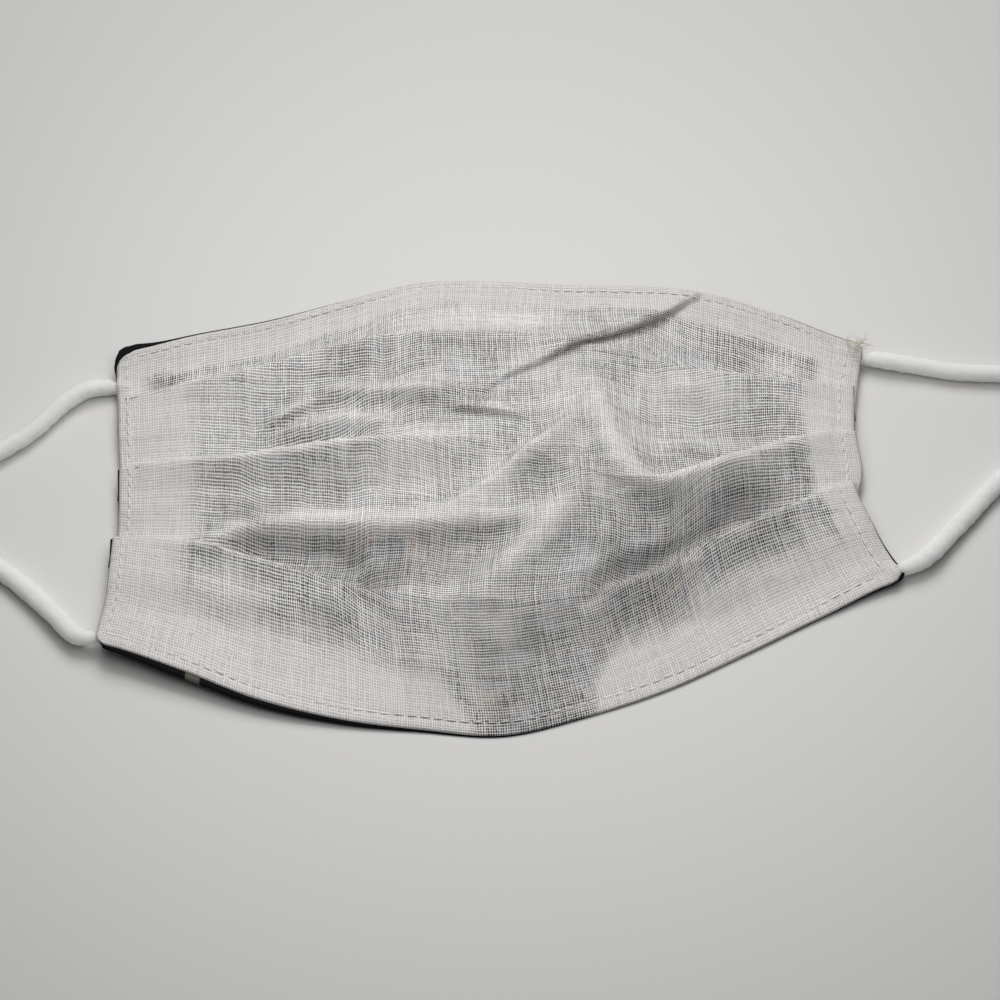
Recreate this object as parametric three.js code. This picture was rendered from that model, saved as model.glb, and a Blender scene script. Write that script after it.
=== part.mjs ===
// Pleated cloth face mask lying outer side down: white gauze lining above, black cotton below,
// one soft round elastic ear loop on each side. Millimetres, +Z up, nose edge toward +Y.
import * as THREE from 'three';

// ---- driving sizes ----
const CLOTH = 1.0;            // wall of each cloth panel
const PANEL_GAP = 0.3;        // air between lining and outer panel
const STACK = 2 * CLOTH + PANEL_GAP;
const COLUMNS = 36;           // cells across the mask
const PLEAT_RUN = 0.7;        // plan width of the short wall under a pleat's folded edge
const CORNER_PULL = 1.3;      // how far a corner point is drawn in, so that the corner reads round
const LOOP_DIAMETER = 4.5;
const LOOP_SIDES = 8;
const LOOP_STEP = 2.6;        // length of one tube step
const LEAST_FACING = 0.7;     // keeps the wall from growing long where neighbouring faces turn sharply
const CENTRE_X = -0.3;        // moves the body's box onto the axis
const CENTRE_Y = 1.15;

// ---- lines across the mask, from the nose edge to the chin edge ----
// y and z (top of the lining) at eleven even stations from the left side to the right side;
// drop is how far the layer above a pleat lies below the pleat's folded edge.
const LINES = [
  { name: 'nose_edge',
    y: [40.9, 48.3, 53.4, 59.4, 64.1, 63.6, 62.0, 61.2, 59.5, 53.9, 43.6],
    z: [6.0, 3.6, 3.0, 3.4, 4.5, 6.0, 6.5, 7.0, 6.0, 4.0, 6.0],
    drop: [0, 0, 0, 0, 0, 0, 0, 0, 0, 0, 0] },
  { name: 'pleat_upper',
    y: [27.3, 32.5, 37.9, 42.6, 44.5, 44.4, 41.5, 36.7, 33.8, 33.7, 31.1],
    z: [5.0, 4.5, 5.5, 7.5, 9.0, 10.0, 10.5, 9.5, 7.5, 4.5, 5.2],
    drop: [2.0, 2.2, 2.0, 1.0, 0.2, 0, 0, 0.6, 1.6, 2.2, 2.0] },
  { name: 'pleat_middle',
    y: [6.7, 9.9, 9.5, 11.2, 12.1, 10.6, 4.1, -1.7, 4.2, 13.5, 17.4],
    z: [4.8, 4.7, 7.5, 10.0, 11.0, 11.0, 11.0, 12.5, 12.5, 7.5, 5.2],
    drop: [2.0, 2.4, 2.4, 2.0, 0.6, 0, 0, 1.0, 2.0, 2.4, 2.0] },
  { name: 'pleat_lower',
    y: [-12.5, -14.2, -19.2, -24.7, -28.7, -30.5, -29.4, -23.0, -15.3, -5.5, 3.1],
    z: [5.0, 4.7, 5.6, 5.6, 6.5, 7.0, 6.5, 6.0, 6.5, 4.7, 5.0],
    drop: [2.0, 2.4, 2.4, 1.2, 0.2, 0, 0.4, 1.6, 2.4, 2.4, 2.0] },
  { name: 'chin_edge',
    y: [-41.2, -46.8, -53.9, -58.3, -60.6, -61.9, -57.3, -50.6, -41.4, -31.7, -23.3],
    z: [7.5, 6.5, 5.0, 3.4, 2.6, 2.3, 2.3, 2.5, 2.8, 3.6, 5.5],
    drop: [0, 0, 0, 0, 0, 0, 0, 0, 0, 0, 0] },
];

// ---- bands between those lines ----
// rows: cells down the band; left and right: x of the side edge at the band's start, middle and end;
// sag: how far the band hangs below the straight line between its two edges.
const BANDS = [
  { name: 'nose_band', rows: 8, left: [-92.6, -91.6, -90.4], right: [90.2, 88.3, 86.8], sag: 1.6 },
  { name: 'upper_band', rows: 7, left: [-90.9, -89.3, -87.7], right: [87.0, 86.0, 85.6], sag: 1.2 },
  { name: 'lower_band', rows: 7, left: [-88.4, -87.4, -87.5], right: [86.1, 86.6, 83.6], sag: 1.6 },
  { name: 'chin_band', rows: 8, left: [-88.0, -87.8, -89.0], right: [84.2, 88.2, 93.2], sag: 1.4 },
];

// ---- soft folds, ridges and valleys standing on the lines above ----
// path: plan points; rise: height at each point (below zero is a valley);
// wide_left and wide_right: reach to the left and right of the path's direction.
const FOLDS = [
  { name: 'nose_crease', path: [[50, 60.5], [38, 51.8], [25, 45.2], [15, 39], [4, 33.6], [-1, 29.5], [-5.5, 22.5]],
    rise: [0.6, 1.6, 2.4, 3.2, 3.4, 3.2, 0.8], wide_left: 4.5, wide_right: 8 },
  { name: 'cross_crease', path: [[-13, 19.7], [-5, 20.4], [2, 19.2], [10, 18.4]],
    rise: [0.2, 1.8, 1.8, 0.2], wide_left: 6, wide_right: 4 },
  { name: 'tunnel', path: [[-42, 30.5], [-30, 28.3], [-22, 27.8], [-15, 27.8], [-6, 28.5]],
    rise: [0.2, 3.0, 3.6, 3.2, 0.4], wide_left: 6, wide_right: 7.5 },
  { name: 'left_valley', path: [[-60, 17.5], [-50, 22], [-42, 26], [-35, 31]],
    rise: [-0.2, -2.2, -2.4, -0.4], wide_left: 6, wide_right: 6 },
  { name: 'shelf', path: [[-68, -13], [-50, -9.6], [-35, -10.4], [-21, -10.3], [-7, -10.8], [7, -10.5], [13, -8.5]],
    rise: [0.2, 2.4, 3.6, 4.4, 5.4, 5.0, 1.5], wide_left: 13, wide_right: 5.5 },
  { name: 'slanting_ridge', path: [[-13, -9], [-5.6, -5.3], [3, -0.6], [16.8, 12.3], [24, 24]],
    rise: [0.5, 2.4, 2.8, 2.8, 0.4], wide_left: 7, wide_right: 6 },
  { name: 'long_ridge', path: [[26, 9], [12, -12.9], [7.5, -18], [-4, -28.5], [-9, -35]],
    rise: [0.3, 2.8, 3.2, 2.0, 0.2], wide_left: 9, wide_right: 6.5 },
  { name: 'rising_ridge', path: [[33, -2.8], [25.6, 2.5], [21.7, 13.4], [18.9, 21], [14, 32]],
    rise: [0.4, 3.4, 3.6, 3.2, 0.3], wide_left: 7, wide_right: 8 },
  { name: 'right_bowl', path: [[36, 21], [46, 17], [57, 19]],
    rise: [-2.4, -3.6, -1.6], wide_left: 12, wide_right: 12 },
  { name: 'right_valley', path: [[44, -16], [33, -20.5], [23, -25], [18, -33]],
    rise: [-0.4, -2.2, -2.4, -0.3], wide_left: 6, wide_right: 7 },
  { name: 'chin_swell', path: [[-48, -30], [-40, -34], [-34, -44]],
    rise: [0.4, 2.0, 0.4], wide_left: 9, wide_right: 9 },
];

// ---- how far the black panel's edge stands out past the lining, at the same eleven stations ----
const NOSE_OVERHANG = [2.6, 0.7, 0.4, 0.3, 0.3, 0.3, 0.3, 0.3, 0.4, 0.5, 0.6];
const CHIN_OVERHANG = [1.2, 1.9, 1.2, 1.0, 0.5, 0.4, 0.3, 0.3, 0.3, 0.4, 0.8];
const SIDE_OVERHANG = 0.4;

// ---- ear loops: hand-chosen points of the elastic's centre line, from the nose corner to the chin corner ----
const LOOP_LEFT = [
  [-92.15, 31.9, 2.7], [-94.8, 32.1, 2.6], [-98.2, 31.5, 2.5], [-102.5, 28.9, 2.4], [-106.8, 24.1, 2.3],
  [-110.9, 19.0, 2.3], [-115.4, 14.9, 2.3], [-121.0, 11.0, 2.3], [-127.6, 8.4, 2.3], [-134.6, 6.8, 2.3],
  [-141.2, 3.6, 2.3], [-145.2, -2.2, 2.3], [-144.6, -9.0, 2.3], [-139.8, -13.4, 2.3], [-133.2, -14.8, 2.3],
  [-126.4, -15.2, 2.3], [-119.6, -16.8, 2.3], [-113.0, -20.3, 2.3], [-106.6, -25.5, 2.4], [-102.0, -29.7, 2.7],
  [-98.1, -33.6, 3.1], [-95.2, -36.7, 3.9], [-92.8, -38.4, 5.0], [-90.25, -39.0, 6.0],
];
const LOOP_RIGHT = [
  [90.85, 40.5, 3.6], [93.2, 40.3, 3.5], [96.6, 39.7, 3.0], [100.2, 39.1, 2.7], [105.1, 38.3, 2.4],
  [109.8, 37.3, 2.3], [115.8, 36.6, 2.3], [123.1, 36.3, 2.3], [130.8, 35.8, 2.3], [138.4, 34.2, 2.3],
  [145.0, 30.4, 2.3], [148.4, 24.0, 2.3], [147.2, 17.2, 2.3], [141.8, 12.8, 2.3], [134.8, 11.2, 2.3],
  [127.8, 9.6, 2.3], [121.4, 6.4, 2.3], [116.1, 1.5, 2.3], [111.3, -3.9, 2.3], [107.3, -8.3, 2.4], [103.8, -12.2, 2.7],
  [100.4, -15.9, 3.2], [97.0, -18.6, 3.8], [93.35, -20.15, 4.2],
];

// Smooth value of a table row at fraction s of the way across.
function along(row, s) {
  const last = row.length - 1;
  const i = Math.min(Math.floor(s * last), last - 1);
  const t = s * last - i;
  const [a, b, c, d] = [row[Math.max(i - 1, 0)], row[i], row[i + 1], row[Math.min(i + 2, last)]];
  return b + 0.5 * t * (c - a + t * (2 * a - 5 * b + 4 * c - d + t * (3 * (b - c) + d - a)));
}

// Height that one fold adds at a plan point: greatest on its path, easing to nothing at its reach.
function foldHeight(fold, x, y) {
  let best = Infinity, rise = 0, reach = 1;
  for (let i = 0; i + 1 < fold.path.length; i++) {
    const [ax, ay] = fold.path[i], [bx, by] = fold.path[i + 1];
    const dx = bx - ax, dy = by - ay;
    const t = Math.min(Math.max(((x - ax) * dx + (y - ay) * dy) / (dx * dx + dy * dy), 0), 1);
    const away = Math.hypot(x - ax - t * dx, y - ay - t * dy);
    const onLeft = dx * (y - ay) - dy * (x - ax) > 0;
    if (away < best) {
      best = away;
      rise = fold.rise[i] + (fold.rise[i + 1] - fold.rise[i]) * t;
      reach = onLeft ? fold.wide_left : fold.wide_right;
    }
  }
  return best < reach ? rise * 0.5 * (1 + Math.cos(Math.PI * best / reach)) : 0;
}

// Points of the lining's top, row by row from the nose edge to the chin edge.
function liningTop() {
  const rows = [];
  BANDS.forEach((band, k) => {
    const upper = LINES[k], lower = LINES[k + 1];
    for (let r = 0; r <= band.rows; r++) {
      const t = r / band.rows;
      const left = along(band.left, t), right = along(band.right, t);
      const row = [];
      for (let c = 0; c <= COLUMNS; c++) {
        const s = c / COLUMNS;
        const x = left + (right - left) * s;
        const endY = along(lower.y, s) + (k + 1 < BANDS.length ? PLEAT_RUN : 0);
        const y = along(upper.y, s) * (1 - t) + endY * t;
        const endZ = along(lower.z, s) - Math.max(along(lower.drop, s), 0);
        let z = along(upper.z, s) * (1 - t) + endZ * t - band.sag * Math.sin(Math.PI * t);
        for (const fold of FOLDS) z += foldHeight(fold, x, y);
        row.push(new THREE.Vector3(x, y, Math.max(z, STACK)));
      }
      rows.push(row);
    }
  });
  const ends = [0, rows.length - 1];
  for (const r of ends) {
    for (const c of [0, COLUMNS]) {
      const p = rows[r][c];
      p.x -= Math.sign(p.x) * CORNER_PULL;
      p.y -= Math.sign(p.y) * CORNER_PULL;
    }
  }
  return rows;
}

// For each point, the step that sinks it by one unit of wall, square to the cloth on all sides.
function sinkSteps(rows) {
  const sinks = rows.map(row => row.map(() => new THREE.Vector3()));
  const faces = rows.map(row => row.map(() => []));
  const side1 = new THREE.Vector3(), side2 = new THREE.Vector3();
  for (let r = 0; r + 1 < rows.length; r++) {
    for (let c = 0; c < COLUMNS; c++) {
      const [p, q, u, v] = [rows[r][c], rows[r][c + 1], rows[r + 1][c], rows[r + 1][c + 1]];
      const normal = side1.subVectors(u, q).cross(side2.subVectors(v, p)).normalize().clone();
      for (const [i, j] of [[r, c], [r, c + 1], [r + 1, c], [r + 1, c + 1]]) faces[i][j].push(normal);
    }
  }
  faces.forEach((row, r) => row.forEach((list, c) => {
    const mean = sinks[r][c];
    for (const n of list) mean.add(n);
    mean.normalize();
    let least = 1;
    for (const n of list) least = Math.min(least, mean.dot(n));
    mean.multiplyScalar(-1 / Math.max(least, LEAST_FACING));
  }));
  return sinks;
}

// Closed sheet between two depths under the lining's top; out(r, c) moves an edge point sideways.
function sheet(rows, sinks, depthTop, depthUnder, out) {
  const across = COLUMNS + 1, count = rows.length * across;
  const points = [];
  for (const depth of [depthTop, depthUnder]) {
    rows.forEach((row, r) => row.forEach((p, c) => {
      const q = p.clone().addScaledVector(sinks[r][c], depth);
      const [ox, oy] = out(r, c);
      points.push(q.x + ox - CENTRE_X, q.y + oy - CENTRE_Y, Math.max(q.z, STACK - depth));
    }));
  }
  const index = [];
  const quad = (a, b, c, d) => index.push(a, b, c, a, c, d);
  for (let r = 0; r + 1 < rows.length; r++) {
    for (let c = 0; c < COLUMNS; c++) {
      const a = r * across + c;
      quad(a, a + across, a + across + 1, a + 1);
      quad(count + a, count + a + 1, count + a + across + 1, count + a + across);
    }
  }
  const rim = [];
  for (let c = 0; c < COLUMNS; c++) rim.push(c);
  for (let r = 0; r + 1 < rows.length; r++) rim.push(r * across + COLUMNS);
  for (let c = COLUMNS; c > 0; c--) rim.push((rows.length - 1) * across + c);
  for (let r = rows.length - 1; r > 0; r--) rim.push(r * across);
  rim.forEach((a, i) => {
    const b = rim[(i + 1) % rim.length];
    quad(a, b, count + b, count + a);
  });
  const geometry = new THREE.BufferGeometry();
  geometry.setAttribute('position', new THREE.Float32BufferAttribute(points, 3));
  geometry.setIndex(index);
  geometry.computeVertexNormals();
  return geometry;
}

// Soft round elastic: an eight-sided tube along its centre line.
function loopTube(path) {
  const curve = new THREE.CatmullRomCurve3(path.map(([x, y, z]) => new THREE.Vector3(x - CENTRE_X, y - CENTRE_Y, z)));
  const section = new THREE.Shape();
  for (let i = 0; i < LOOP_SIDES; i++) {
    const angle = (i + 0.5) * 2 * Math.PI / LOOP_SIDES;
    const x = LOOP_DIAMETER / 2 * Math.cos(angle), y = LOOP_DIAMETER / 2 * Math.sin(angle);
    if (i === 0) section.moveTo(x, y); else section.lineTo(x, y);
  }
  section.closePath();
  const steps = Math.round(curve.getLength() / LOOP_STEP);
  return new THREE.ExtrudeGeometry(section, { steps, extrudePath: curve, bevelEnabled: false });
}

const WHITE_GAUZE = new THREE.MeshStandardMaterial({ color: 0xdedbd8, roughness: 0.95, metalness: 0 });
const BLACK_COTTON = new THREE.MeshStandardMaterial({ color: 0x17171a, roughness: 0.9, metalness: 0 });
const WHITE_ELASTIC = new THREE.MeshStandardMaterial({ color: 0xecebea, roughness: 0.85, metalness: 0 });

const top = liningTop();
const sinks = sinkSteps(top);
const lastRow = top.length - 1;
const flush = () => [0, 0];
const overhang = (r, c) => {
  const s = c / COLUMNS;
  const sideways = c === 0 ? -SIDE_OVERHANG : c === COLUMNS ? SIDE_OVERHANG : 0;
  if (r === 0) return [sideways, along(NOSE_OVERHANG, s)];
  if (r === lastRow) return [sideways, -along(CHIN_OVERHANG, s)];
  return [sideways, 0];
};

const group = new THREE.Group();
function add(name, geometry, material) {
  const mesh = new THREE.Mesh(geometry, material);
  mesh.name = name;
  group.add(mesh);
}
add('lining_panel', sheet(top, sinks, 0, CLOTH, flush), WHITE_GAUZE);
add('outer_panel', sheet(top, sinks, CLOTH + PANEL_GAP, STACK, overhang), BLACK_COTTON);
add('ear_loop_left', loopTube(LOOP_LEFT), WHITE_ELASTIC);
add('ear_loop_right', loopTube(LOOP_RIGHT), WHITE_ELASTIC);

export default group;
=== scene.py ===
import math
import random

import bmesh
import bpy
import numpy as np
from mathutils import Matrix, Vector, noise


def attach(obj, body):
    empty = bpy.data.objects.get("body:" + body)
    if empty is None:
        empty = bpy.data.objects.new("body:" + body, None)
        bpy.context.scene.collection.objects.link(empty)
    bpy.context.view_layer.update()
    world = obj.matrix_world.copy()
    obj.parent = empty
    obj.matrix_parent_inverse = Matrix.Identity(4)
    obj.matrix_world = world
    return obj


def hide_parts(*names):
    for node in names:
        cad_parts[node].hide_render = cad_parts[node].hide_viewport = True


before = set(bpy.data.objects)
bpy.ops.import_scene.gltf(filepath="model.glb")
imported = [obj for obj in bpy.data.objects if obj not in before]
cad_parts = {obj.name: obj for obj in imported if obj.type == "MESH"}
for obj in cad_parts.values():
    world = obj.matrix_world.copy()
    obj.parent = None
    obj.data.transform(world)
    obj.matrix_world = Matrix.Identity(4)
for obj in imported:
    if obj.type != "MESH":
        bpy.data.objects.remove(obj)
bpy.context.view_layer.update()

MM = 0.001

# Camera: above the chin edge, looking down at the mask as it lies.
# It aims at the point of the surface that is in the middle of the picture.
CAMERA_ELEVATION = math.radians(56.0)
CAMERA_DISTANCE = 480 * MM
CAMERA_AIM = Vector((1.5 * MM, -0.8 * MM, 0.0))
SENSOR_WIDTH = 36.0
LENS_OVER_SENSOR = 2.04
NEAREST_SEEN = 10 * MM

camera_data = bpy.data.cameras.new("camera")
camera_data.sensor_width = SENSOR_WIDTH
camera_data.lens = LENS_OVER_SENSOR * camera_data.sensor_width
camera_data.clip_start = NEAREST_SEEN
camera = bpy.data.objects.new("camera", camera_data)
camera.location = CAMERA_AIM + CAMERA_DISTANCE * Vector(
    (0, -math.cos(CAMERA_ELEVATION), math.sin(CAMERA_ELEVATION))
)
camera.rotation_euler = (math.pi / 2 - CAMERA_ELEVATION, 0, 0)
bpy.context.collection.objects.link(camera)
bpy.context.scene.camera = camera


# Ear loops: soft round white elastic, knitted in fine lengthwise ribs, one each side.
# Both ends are sewn into the mask's corners, and the loop lies loose on the surface.
class Wire:
    """A shader socket that can be written in sums."""

    def __init__(self, finish, socket):
        self.finish = finish
        self.socket = socket

    def math(self, operation, *values):
        settings = {"operation": operation}
        return self.finish.node("ShaderNodeMath", settings, dict(enumerate(values)))

    def __add__(self, other):
        return self.math("ADD", self, other)

    def __radd__(self, other):
        return self.math("ADD", other, self)

    def __sub__(self, other):
        return self.math("SUBTRACT", self, other)

    def __rsub__(self, other):
        return self.math("SUBTRACT", other, self)

    def __mul__(self, other):
        return self.math("MULTIPLY", self, other)

    def __rmul__(self, other):
        return self.math("MULTIPLY", other, self)

    def cosine(self):
        return self.math("COSINE", self)

    def size(self):
        return self.math("ABSOLUTE", self)

    def ramp(self, low, high):
        """0 below low, 1 above high, smooth between; falls if low is over high."""
        settings = {"interpolation_type": "SMOOTHSTEP"}
        if low <= high:
            sockets = {"Value": self, "From Min": low, "From Max": high}
            return self.finish.node("ShaderNodeMapRange", settings, sockets)
        return 1 - self.ramp(high, low)


class Finish:
    """A material with one principled shader; constants go straight on its sockets."""

    def __init__(self, name, constants):
        self.material = bpy.data.materials.new(name)
        self.material.use_nodes = True
        self.tree = self.material.node_tree
        self.shader = self.tree.nodes["Principled BSDF"]
        for socket, value in constants.items():
            self.shader.inputs[socket].default_value = value

    def node(self, kind, settings=None, sockets=None, out=0):
        node = self.tree.nodes.new(kind)
        for name, value in (settings or {}).items():
            setattr(node, name, value)
        for name, value in (sockets or {}).items():
            if isinstance(value, Wire):
                self.tree.links.new(value.socket, node.inputs[name])
            else:
                node.inputs[name].default_value = value
        return Wire(self, node.outputs[out])

    def feed(self, socket, wire):
        self.tree.links.new(wire.socket, self.shader.inputs[socket])

    def mix(self, factor, first, second):
        """Colour from first at 0 to second at 1."""
        settings = {"data_type": "RGBA"}
        return self.node("ShaderNodeMix", settings, {0: factor, 6: first, 7: second}, out=2)

    def axes(self, wire):
        """The x and y of a vector."""
        node = self.tree.nodes.new("ShaderNodeSeparateXYZ")
        self.tree.links.new(wire.socket, node.inputs[0])
        return Wire(self, node.outputs[0]), Wire(self, node.outputs[1])

    def in_place(self):
        """The piece's own coordinates, in metres."""
        return self.node("ShaderNodeTexCoord", out=3)

    def on_flat(self):
        """The place on the cloth's flat lie, in millimetres."""
        plain = self.node("ShaderNodeUVMap", {"uv_map": "UVMap"})
        sockets = {"Vector": plain, "Scale": (UV_MM, UV_MM, 1)}
        return self.node("ShaderNodeMapping", {"vector_type": "POINT"}, sockets)

    def attribute(self, name):
        """A number stored on the mesh's points."""
        return self.node("ShaderNodeAttribute", {"attribute_name": name}, out=2)

    def noise(self, vector, scale, detail, roughness, stretch=None):
        """Soft random tone from 0 to 1, drawn out where stretch is small."""
        if stretch:
            vector = self.node("ShaderNodeMapping", {}, {"Vector": vector, "Scale": stretch})
        sockets = {"Vector": vector, "Scale": scale, "Detail": detail, "Roughness": roughness}
        return self.node("ShaderNodeTexNoise", {}, sockets)

    def bump(self, height, distance, strength):
        sockets = {"Height": height, "Distance": distance, "Strength": strength}
        self.feed("Normal", self.node("ShaderNodeBump", {}, sockets))


# All tables are in millimetres, and CENTRE is where the part's origin lies in them.
CENTRE = Vector((-0.3, 1.15, 0.0))

# The elastic is pressed to LOOP_FLAT of its height, narrows where it enters the hem, and
# is uneven by LOOP_ROUGH. Its routes go from the nose corner round to the chin corner.
LOOP_DIAMETER = 4.5
LOOP_FLAT = 0.8
LOOP_END_WIDTHS = (0.38, 0.74, 0.93)
LOOP_KNOB = 1.5
LOOP_ROUGH = 0.30
LOOP_SIDES = 6
LOOP_STEPS = 14
LOOP_LEFT = [
    (-88.6, 31.7, 1.9), (-92.15, 31.9, 2.0), (-94.8, 32.1, 2.3), (-98.2, 31.5, 2.5),
    (-102.5, 28.9, 2.4), (-106.8, 24.1, 2.3), (-110.9, 19.0, 2.3), (-115.4, 14.9, 2.3),
    (-121.0, 11.0, 2.3), (-127.6, 8.4, 2.3), (-134.6, 6.8, 2.3), (-141.2, 3.6, 2.3),
    (-145.2, -2.2, 2.3), (-144.6, -9.0, 2.3), (-139.8, -13.4, 2.3), (-133.2, -14.8, 2.3),
    (-126.4, -15.2, 2.3), (-119.6, -16.8, 2.3), (-113.0, -20.3, 2.3), (-106.6, -25.5, 2.4),
    (-102.0, -29.7, 2.7), (-98.1, -33.6, 3.1), (-95.2, -36.7, 3.2), (-92.8, -38.4, 3.6),
    (-90.25, -39.0, 3.9), (-87.4, -39.2, 4.0),
]
LOOP_RIGHT = [
    (87.6, 40.6, 2.5), (90.85, 40.5, 2.8), (93.2, 40.3, 3.0), (96.6, 39.7, 3.0),
    (100.2, 39.1, 2.7), (105.1, 38.3, 2.4), (109.8, 37.3, 2.3), (115.8, 36.6, 2.3),
    (123.1, 36.3, 2.3), (130.8, 35.8, 2.3), (138.4, 34.2, 2.3), (145.0, 30.4, 2.3),
    (148.4, 24.0, 2.3), (147.2, 17.2, 2.3), (141.8, 12.8, 2.3), (134.8, 11.2, 2.3),
    (127.8, 9.6, 2.3), (121.4, 6.4, 2.3), (116.1, 1.5, 2.3), (111.3, -3.9, 2.3),
    (107.3, -8.3, 2.4), (103.8, -12.2, 2.7), (100.4, -15.9, 3.2), (97.0, -18.6, 3.1),
    (93.35, -20.15, 2.7), (90.0, -21.2, 2.3),
]

ELASTIC_SHADE = (0.88, 0.87, 0.85, 1)
ELASTIC_WHITE = (0.96, 0.95, 0.93, 1)
FUZZ_SCALE = 900
KNIT_SCALE = 2600
WORN_SCALE = 90
FUZZ_SHARE = 0.6
FUZZ_DEEP = 0.35 * MM
GLOW_DEPTH = 7 * MM

elastic = Finish(
    "white_elastic",
    {
        "Roughness": 0.95, "Sheen Weight": 0.3, "Sheen Roughness": 0.7,
        "Subsurface Weight": 0.85, "Subsurface Radius": (1, 1, 1), "Subsurface Scale": GLOW_DEPTH,
    },
)
elastic_place = elastic.in_place()
fuzz = elastic.noise(elastic_place, FUZZ_SCALE, 4, 0.65)
knit = elastic.noise(elastic_place, KNIT_SCALE, 2, 0.5)
worn = elastic.noise(elastic_place, WORN_SCALE, 3, 0.5)
elastic.bump(fuzz * FUZZ_SHARE + knit * (1 - FUZZ_SHARE), FUZZ_DEEP, 0.55)
elastic.feed("Base Color", elastic.mix(worn * 0.5 + fuzz * 0.5, ELASTIC_SHADE, ELASTIC_WHITE))


def object_from(name, mesh, material):
    """A piece of the mask: it lies where its mesh is, and rides on the part's one body."""
    obj = bpy.data.objects.new(name, mesh)
    mesh.materials.clear()
    mesh.materials.append(material)
    bpy.context.collection.objects.link(obj)
    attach(obj, "root")
    return obj


def mesh_of(carrier):
    """The mesh that a curve object stands for. The curve object is removed."""
    found = carrier.evaluated_get(bpy.context.evaluated_depsgraph_get())
    mesh = bpy.data.meshes.new_from_object(found)
    bpy.data.objects.remove(carrier)
    return mesh


def elastic_loop(name, node, route):
    """One ear loop: a round bar along its route, flattened, with a knobbly surface."""
    line = bpy.data.curves.new(name + "_line", "CURVE")
    line.dimensions = "3D"
    line.bevel_depth = LOOP_DIAMETER / 2 * MM
    line.bevel_resolution = LOOP_SIDES
    line.resolution_u = LOOP_STEPS
    line.use_fill_caps = True
    spline = line.splines.new("BEZIER")
    spline.bezier_points.add(len(route) - 1)
    last = len(route) - 1
    for i, (point, place) in enumerate(zip(spline.bezier_points, route)):
        point.co = (Vector(place) - CENTRE) * MM
        from_end = min(i, last - i)
        point.radius = LOOP_END_WIDTHS[from_end] if from_end < len(LOOP_END_WIDTHS) else 1.0
        point.handle_left_type = "AUTO"
        point.handle_right_type = "AUTO"
    carrier = bpy.data.objects.new(name + "_line", line)
    bpy.context.collection.objects.link(carrier)
    mesh = mesh_of(carrier)
    mesh.name = name
    mesh.shade_smooth()
    loop = object_from(name, mesh, elastic.material)
    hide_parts(node)
    for vert in mesh.vertices:
        vert.co += vert.normal * noise.noise(vert.co / (LOOP_KNOB * MM)) * LOOP_ROUGH * MM
        vert.co.z = max(vert.co.z * LOOP_FLAT, 0.0)
    places = [(Vector(place) - CENTRE) * MM for place in route]
    for place in places:
        place.z *= LOOP_FLAT


elastic_loop("ear_loop_left_elastic", "ear_loop_left", LOOP_LEFT)
elastic_loop("ear_loop_right_elastic", "ear_loop_right", LOOP_RIGHT)


# Lining: coarse white gauze, one flat piece folded into three pleats that are sewn
# flat in the side hems and pulled open in the middle, so that it lies in soft wrinkles.

# The cotton lies COTTON_BELOW under the gauze. In a pleat, the layer that is folded back
# lies FOLD_DEEP under the top one, and the band that runs in below it STACK_DEEP under it.
# The real cloth is thinner than the solids' walls, so it all lies VISUAL_DROP lower.
GAUZE_THICK = 0.25
COTTON_THICK = 0.25
COTTON_BELOW = 0.27
PANEL = COTTON_BELOW + COTTON_THICK
LAYER_GAP = 0.14
STACK_GAP = 0.3
FOLD_DEEP = 2 * PANEL + LAYER_GAP
STACK_DEEP = FOLD_DEEP + STACK_GAP
FLOOR_GAP = 0.05
VISUAL_DROP = 1.5

# The grid of cloth: its columns, the rows of each band and fold, and the turns of a lip.
COLUMNS = 240
BAND_ROWS = (44, 38, 38, 44)
FOLD_ROWS = 8
LIP_ANGLES = (-60.0, 0.0, 60.0)

# Just past a lip the gauze stands clear of the cotton, and looks paler; this also paints a
# highlight along the lip's edge.
LIP_PALE = 1.1
LIP_LIFT_AND_HIGHLIGHT = 2.2
LIP_SHUT = (-2.0, 1.0)

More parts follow.
